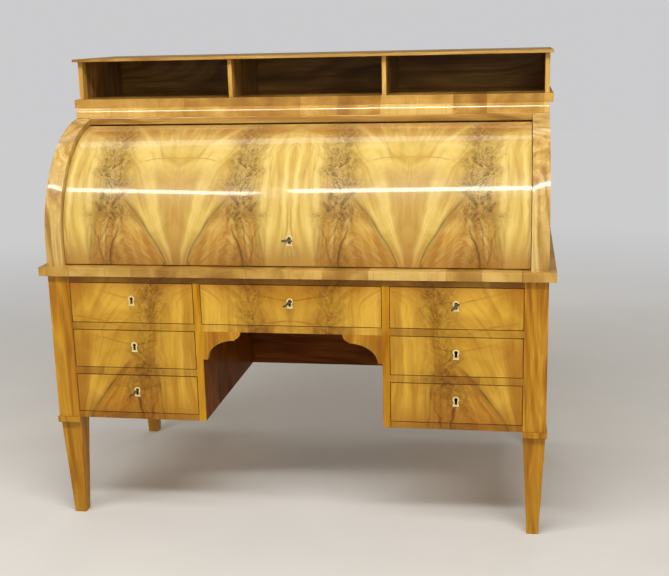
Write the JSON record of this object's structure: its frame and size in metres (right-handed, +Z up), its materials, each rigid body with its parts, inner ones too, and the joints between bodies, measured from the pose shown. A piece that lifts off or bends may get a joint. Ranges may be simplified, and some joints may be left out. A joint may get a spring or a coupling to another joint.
{
  "type": "roll top desk",
  "caption": "Walnut cylinder desk: quarter-round fall over a sliding writing surface, drawers round a kneehole, square tapered legs and an open shelf on top.",
  "frame": {"origin": "on the floor, under the middle of the bounding box of the closed desk with its keys in place", "axes": "+X to the sitter's right, +Y from the sitter to the back of the desk, +Z up"},
  "size_m": [1.44, 0.811, 1.325],
  "materials": {
    "walnut_veneer": "figured walnut veneer, French polished",
    "solid_walnut": "straight grained walnut, French polished",
    "dark_walnut": "walnut, dull inside surface",
    "secondary_pine": "bare pine, aged",
    "brass": "pale aged brass",
    "steel": "darkened steel",
    "leather": "green writing leather"
  },
  "bodies": {
    "desk_case": {"legs": "solid_walnut", "leg_collars": "solid_walnut", "corner_posts": "solid_walnut", "side_panels": "walnut_veneer", "partitions": "walnut_veneer", "front_rails": "walnut_veneer", "drawer_runners": "secondary_pine", "pedestal_bottoms": "secondary_pine", "lower_back_panels": "secondary_pine", "modesty_panel": "dark_walnut", "kneehole_brackets": "solid_walnut", "dust_board": "secondary_pine", "fixed_top": "walnut_veneer", "cheeks": "walnut_veneer", "upper_back_panel": "secondary_pine", "fixed_rail": "walnut_veneer", "top_moulding": "walnut_veneer", "cornice_board": "walnut_veneer", "shelf_uprights": "dark_walnut", "shelf_back": "dark_walnut", "shelf_top": "walnut_veneer", "gradin_case": "solid_walnut"},
    "cylinder": {"cylinder_panel": "walnut_veneer", "cylinder_ribs": "secondary_pine", "cylinder_arms": "solid_walnut", "cylinder_lock": "brass"},
    "slide": {"writing_slide": "walnut_veneer", "writing_leather": "leather"},
    "drawer_left_top": {"front_left_top": "walnut_veneer", "box_left_top": "secondary_pine", "lock_left_top": "brass"},
    "drawer_left_middle": {"front_left_middle": "walnut_veneer", "box_left_middle": "secondary_pine", "lock_left_middle": "brass"},
    "drawer_left_bottom": {"front_left_bottom": "walnut_veneer", "box_left_bottom": "secondary_pine", "lock_left_bottom": "brass"},
    "drawer_centre": {"front_centre": "walnut_veneer", "box_centre": "secondary_pine", "lock_centre": "brass"},
    "drawer_right_top": {"front_right_top": "walnut_veneer", "box_right_top": "secondary_pine", "lock_right_top": "brass"},
    "drawer_right_middle": {"front_right_middle": "walnut_veneer", "box_right_middle": "secondary_pine", "lock_right_middle": "brass"},
    "drawer_right_bottom": {"front_right_bottom": "walnut_veneer", "box_right_bottom": "secondary_pine", "lock_right_bottom": "brass"},
    "small_drawer_left": {"gradin_drawer_left": "solid_walnut"},
    "small_drawer_centre": {"gradin_drawer_centre": "solid_walnut"},
    "small_drawer_right": {"gradin_drawer_right": "solid_walnut"},
    "key_cylinder": {"key_cylinder": "steel"},
    "bolt_cylinder": {"bolt_cylinder": "steel"},
    "key_centre": {"key_centre": "steel"},
    "bolt_centre": {"bolt_centre": "steel"},
    "key_right_top": {"key_right_top": "steel"},
    "bolt_right_top": {"bolt_right_top": "steel"},
    "key_left_bottom": {"key_left_bottom": "steel"},
    "bolt_left_bottom": {"bolt_left_bottom": "steel"}
  },
  "joints": [
    {"name": "cylinder_turn", "type": "hinge", "parent": "desk_case", "child": "cylinder", "pos_m": [0, -0.0175, 0.8165], "axis": [-1, 0, 0], "range_deg": [0, 72]},
    {"name": "slide_out", "type": "slide", "parent": "desk_case", "child": "slide", "axis": [0, -1, 0], "range_m": [0, 0.29]},
    {"name": "drawer_left_top_out", "type": "slide", "parent": "desk_case", "child": "drawer_left_top", "axis": [0, -1, 0], "range_m": [0, 0.42]},
    {"name": "drawer_left_middle_out", "type": "slide", "parent": "desk_case", "child": "drawer_left_middle", "axis": [0, -1, 0], "range_m": [0, 0.42]},
    {"name": "drawer_left_bottom_out", "type": "slide", "parent": "desk_case", "child": "drawer_left_bottom", "axis": [0, -1, 0], "range_m": [0, 0.42]},
    {"name": "drawer_centre_out", "type": "slide", "parent": "desk_case", "child": "drawer_centre", "axis": [0, -1, 0], "range_m": [0, 0.36]},
    {"name": "drawer_right_top_out", "type": "slide", "parent": "desk_case", "child": "drawer_right_top", "axis": [0, -1, 0], "range_m": [0, 0.42]},
    {"name": "drawer_right_middle_out", "type": "slide", "parent": "desk_case", "child": "drawer_right_middle", "axis": [0, -1, 0], "range_m": [0, 0.42]},
    {"name": "drawer_right_bottom_out", "type": "slide", "parent": "desk_case", "child": "drawer_right_bottom", "axis": [0, -1, 0], "range_m": [0, 0.42]},
    {"name": "small_drawer_left_out", "type": "slide", "parent": "desk_case", "child": "small_drawer_left", "axis": [0, -1, 0], "range_m": [0, 0.11]},
    {"name": "small_drawer_centre_out", "type": "slide", "parent": "desk_case", "child": "small_drawer_centre", "axis": [0, -1, 0], "range_m": [0, 0.11]},
    {"name": "small_drawer_right_out", "type": "slide", "parent": "desk_case", "child": "small_drawer_right", "axis": [0, -1, 0], "range_m": [0, 0.11]},
    {"name": "key_cylinder_turn", "type": "hinge", "parent": "cylinder", "child": "key_cylinder", "pos_m": [0, -0.3375, 0.84], "axis": [0, 1, 0], "range_deg": [0, 90]},
    {"name": "bolt_cylinder_throw", "type": "slide", "parent": "cylinder", "child": "bolt_cylinder", "axis": [0, 0, -1], "range_m": [0, 0.008]},
    {"name": "key_centre_turn", "type": "hinge", "parent": "drawer_centre", "child": "key_centre", "pos_m": [0, -0.3575, 0.668], "axis": [0, 1, 0], "range_deg": [0, 90]},
    {"name": "bolt_centre_throw", "type": "slide", "parent": "drawer_centre", "child": "bolt_centre", "axis": [0, 0, 1], "range_m": [0, 0.008]},
    {"name": "key_right_top_turn", "type": "hinge", "parent": "drawer_right_top", "child": "key_right_top", "pos_m": [0.456, -0.3575, 0.668], "axis": [0, 1, 0], "range_deg": [0, 90]},
    {"name": "bolt_right_top_throw", "type": "slide", "parent": "drawer_right_top", "child": "bolt_right_top", "axis": [0, 0, 1], "range_m": [0, 0.008]},
    {"name": "key_left_bottom_turn", "type": "hinge", "parent": "drawer_left_bottom", "child": "key_left_bottom", "pos_m": [-0.456, -0.3575, 0.3985], "axis": [0, 1, 0], "range_deg": [0, 90]},
    {"name": "bolt_left_bottom_throw", "type": "slide", "parent": "drawer_left_bottom", "child": "bolt_left_bottom", "axis": [0, 0, 1], "range_m": [0, 0.008]}
  ],
  "couplings": [
    {"joint": "key_cylinder_turn", "follows": "bolt_cylinder_throw", "rad_per_m": 196.3},
    {"joint": "key_centre_turn", "follows": "bolt_centre_throw", "rad_per_m": 196.3},
    {"joint": "key_right_top_turn", "follows": "bolt_right_top_throw", "rad_per_m": 196.3},
    {"joint": "key_left_bottom_turn", "follows": "bolt_left_bottom_throw", "rad_per_m": 196.3}
  ]
}
